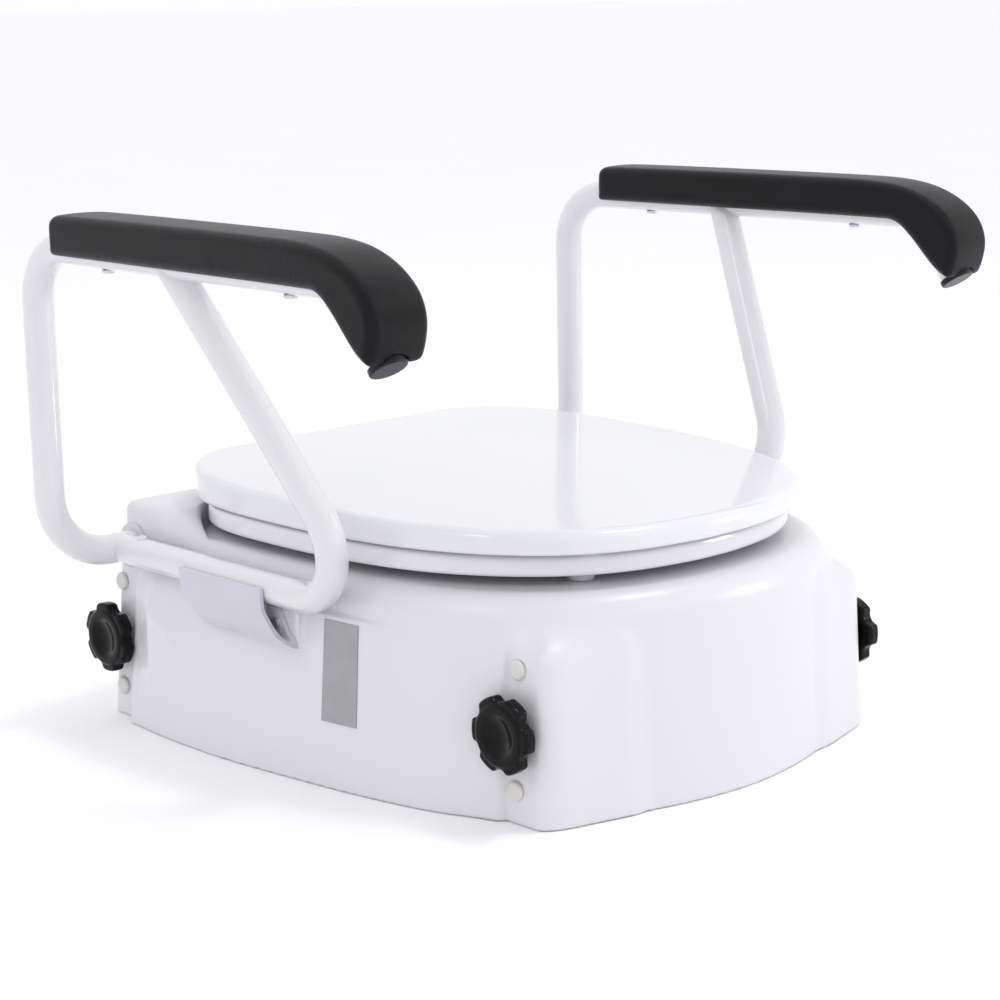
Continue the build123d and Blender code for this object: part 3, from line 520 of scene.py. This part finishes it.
q0, q1 = local((269.6, 21.0, 360.0)), local((207.0, -105.5, 132.0))
dq = (q1 - q0) / np.linalg.norm(q1 - q0)
along = (X - q0[0]) * dq[0] + (Y - q0[1]) * dq[1] + (Z - q0[2]) * dq[2]
off = np.sqrt(np.maximum((X - q0[0]) ** 2 + (Y - q0[1]) ** 2 + (Z - q0[2]) ** 2 - along ** 2, 0))
pad = np.maximum(pad, -np.maximum(off - 11.5, -3.0 - along))
capd = np.array([276.7 - 275.6, -201.6 + 172.7, 315.7 - 360.0]); capd = capd / np.linalg.norm(capd)
q2 = local((276.7, -201.6, 315.7))
along = (Y - q2[1]) * capd[1] + (Z - q2[2]) * capd[2]
off = np.sqrt(np.maximum((X - q2[0]) ** 2 + (Y - q2[1]) ** 2 + (Z - q2[2]) ** 2 - along ** 2, 0))
pad = np.maximum(pad, -np.maximum(off - 12.8, -along))

for s_, side_name in ((1, "left"), (-1, "right")):
    def place(co, s_=s_):
        xx = 269.4 + co[:, 0] * c - co[:, 1] * s
        yy = co[:, 0] * s + co[:, 1] * c
        return np.stack([s_ * xx, yy, co[:, 2]], 1)
    p = mesh_from(pad, (x[0], y[0], z[0]), h, f"arm_pad_cushion_{side_name}", move=place, steps=6)
    dress(p, "pad_foam")
    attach(p, f"arm_{side_name}")
    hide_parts(f"arm_pad_{side_name}")

# ---- clamp knobs -----------------------------------------------------------------
h = 0.6
for hole_y, base, end, turned in ((-185.6, 165.0, "front", 0.0), (200.5, 203.0, "rear", 25.0)):
    x, y, z, X, Y, Z = axes(-1.2, 21, -28, 28, -28, 28, h)
    r = np.sqrt(Y ** 2 + Z ** 2) + 0 * X
    knob = rmax(r - 26.0, np.abs(X - 12.4) - 4.9, 2.4)
    for k in range(6):
        an = math.radians(30 + 60 * k + turned)
        notch = np.sqrt((Y - 28.4 * math.cos(an)) ** 2 + (Z - 28.4 * math.sin(an)) ** 2) - 6.6
        knob = rmax(knob, -(notch + 0 * X), 1.7)
    knob = rmin(knob, rmax(r - 20.6, np.abs(X - 13.0) - 5.4, 1.6), 1.2)
    knob = rmax(knob, -(18.4 - 4.4 * (1 - (r / 14.6) ** 2) - X), 1.0)
    knob = rmax(knob, -np.maximum(np.maximum(9.5 - r, r - 16.5), X - 11.5), 0.5)
    knob = rmin(knob, np.maximum(np.maximum(r - 9.5, 0.1 - X), X - 12), 0.8)
    knob = np.maximum(knob, -np.maximum(r - 3.9, X - 11.8))
    face_x = base - DRAFT * 63
    for s_, side_name in ((1, "left"), (-1, "right")):
        def fit(co, s_=s_, face_x=face_x, hole_y=hole_y):
            return np.stack([s_ * (face_x + co[:, 0]), hole_y + co[:, 1], 63 + co[:, 2]], 1)
        kn = mesh_from(knob, (x[0], y[0], z[0]), h, f"clamp_knob_{end}_{side_name}", move=fit, steps=4)
        dress(kn, "knob_plastic")
        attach(kn, f"{end}_{side_name}_knob")
        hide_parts(f"{end}_{side_name}_knob")

# ---- blank plate on the right wall ------------------------------------------------
bpy.context.view_layer.update()
tree = BVHTree.FromObject(body, bpy.context.evaluated_depsgraph_get())
rows, cols = 24, 12
verts, faces = [], []
for layer in (0.0007, 0.00005):
    for i in range(rows + 1):
        for j in range(cols + 1):
            yy = (-67 + 31.2 * j / cols + YS) * 0.001
            zz = (46.8 + 69.8 * i / rows) * 0.001
            hit, normal, _, _ = tree.ray_cast(Vector((-0.3, yy, zz)), Vector((1, 0, 0)))
            verts.append(tuple(hit + normal * layer))
n1 = (rows + 1) * (cols + 1)
for i in range(rows):
    for j in range(cols):
        a = i * (cols + 1) + j
        faces.append((a, a + cols + 1, a + cols + 2, a + 1))
        faces.append((n1 + a, n1 + a + 1, n1 + a + cols + 2, n1 + a + cols + 1))
rim = ([j for j in range(cols + 1)] + [i * (cols + 1) + cols for i in range(1, rows + 1)]
       + [rows * (cols + 1) + j for j in range(cols - 1, -1, -1)] + [i * (cols + 1) for i in range(rows - 1, 0, -1)])
for a, b in zip(rim, rim[1:] + rim[:1]):
    faces.append((a, b, n1 + b, n1 + a))
me = bpy.data.meshes.new("blank_plate")
me.from_pydata(verts, [], faces)
me.validate()
plate = bpy.data.objects.new("blank_plate", me)
bpy.context.scene.collection.objects.link(plate)
dress(plate, "plate_metal")
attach(plate, "root")
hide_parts("label_plate")

# ---- stage, light and camera --------------------------------------------------------
fm = bpy.data.materials.new("floor_paper")
fm.use_nodes = True
nt = fm.node_tree
sh = nt.nodes["Principled BSDF"]
tc = nt.nodes.new("ShaderNodeTexCoord")
no = nt.nodes.new("ShaderNodeTexNoise")
no.inputs["Scale"].default_value = 3.0
rp = nt.nodes.new("ShaderNodeValToRGB")
rp.color_ramp.elements[0].color = (0.955, 0.955, 0.957, 1)
rp.color_ramp.elements[1].color = (0.975, 0.975, 0.977, 1)
nt.links.new(tc.outputs["Object"], no.inputs["Vector"])
nt.links.new(no.outputs["Fac"], rp.inputs[0])
nt.links.new(rp.outputs[0], sh.inputs["Base Color"])
sh.inputs["Roughness"].default_value = 0.9
sh.inputs["Specular IOR Level"].default_value = 0.1
me = bpy.data.meshes.new("floor")
me.from_pydata([(-150, -150, 0), (150, -150, 0), (150, 150, 0), (-150, 150, 0)], [], [(0, 1, 2, 3)])
floor = bpy.data.objects.new("floor", me)
bpy.context.scene.collection.objects.link(floor)
me.materials.append(fm)

world = bpy.data.worlds.new("studio")
bpy.context.scene.world = world
world.use_nodes = True
nt = world.node_tree
nt.nodes.clear()
wo = nt.nodes.new("ShaderNodeOutputWorld")
bg = nt.nodes.new("ShaderNodeBackground")
tc = nt.nodes.new("ShaderNodeTexCoord")
sx = nt.nodes.new("ShaderNodeSeparateXYZ")
rp = nt.nodes.new("ShaderNodeValToRGB")
rp.color_ramp.elements[0].position, rp.color_ramp.elements[1].position = 0.0, 1.0
rp.color_ramp.elements[0].color = (0.91, 0.91, 0.93, 1)
rp.color_ramp.elements[1].color = (0.92, 0.92, 0.95, 1)
nt.links.new(tc.outputs["Generated"], sx.inputs[0])
nt.links.new(sx.outputs["Z"], rp.inputs[0])
nt.links.new(rp.outputs[0], bg.inputs[0])
bg.inputs[1].default_value = 1.08
nt.links.new(bg.outputs[0], wo.inputs[0])


def softbox(name, place, target, w, hgt, power, colour=(1, 1, 1)):
    L = bpy.data.lights.new(name, "AREA")
    L.shape = "RECTANGLE"
    L.size, L.size_y = w, hgt
    L.energy = power
    L.color = colour
    o = bpy.data.objects.new(name, L)
    bpy.context.scene.collection.objects.link(o)
    o.location = place
    o.rotation_mode = "QUATERNION"
    o.rotation_quaternion = (Vector(target) - Vector(place)).to_track_quat("-Z", "Y")
    return o


softbox("key_top", (0.7, -0.7, 2.2), (0, 0, 0.1), 0.5, 0.5, 9)
softbox("front_right", (1.7, -1.7, 0.6), (0, 0, 0.12), 0.3, 0.7, 9)
softbox("left_strip", (-1.7, -0.3, 1.9), (0, 0, 0.3), 0.4, 0.9, 3.5)

cam_data = bpy.data.cameras.new("photo_view")
cam_data.sensor_width = 36.0
cam_data.lens = 84.015
cam_data.clip_start, cam_data.clip_end = 0.05, 400.0
cam = bpy.data.objects.new("photo_view", cam_data)
bpy.context.scene.collection.objects.link(cam)
az, el, roll = math.radians(-43.1), math.radians(12.14), math.radians(-1.05)
back = Vector((math.sin(az) * math.cos(el), -math.cos(az) * math.cos(el), math.sin(el)))
fwd = -back
right = fwd.cross(Vector((0, 0, 1))).normalized()
up = right.cross(fwd)
r2 = right * math.cos(roll) + up * math.sin(roll)
u2 = -right * math.sin(roll) + up * math.cos(roll)
cam.matrix_world = Matrix((
    (r2.x, u2.x, back.x, -1.1470),
    (r2.y, u2.y, back.y, -1.2257 + YS * 0.001),
    (r2.z, u2.z, back.z, 0.5227),
    (0, 0, 0, 1)))
bpy.context.scene.camera = cam
bpy.context.scene.view_settings.view_transform = "Standard"
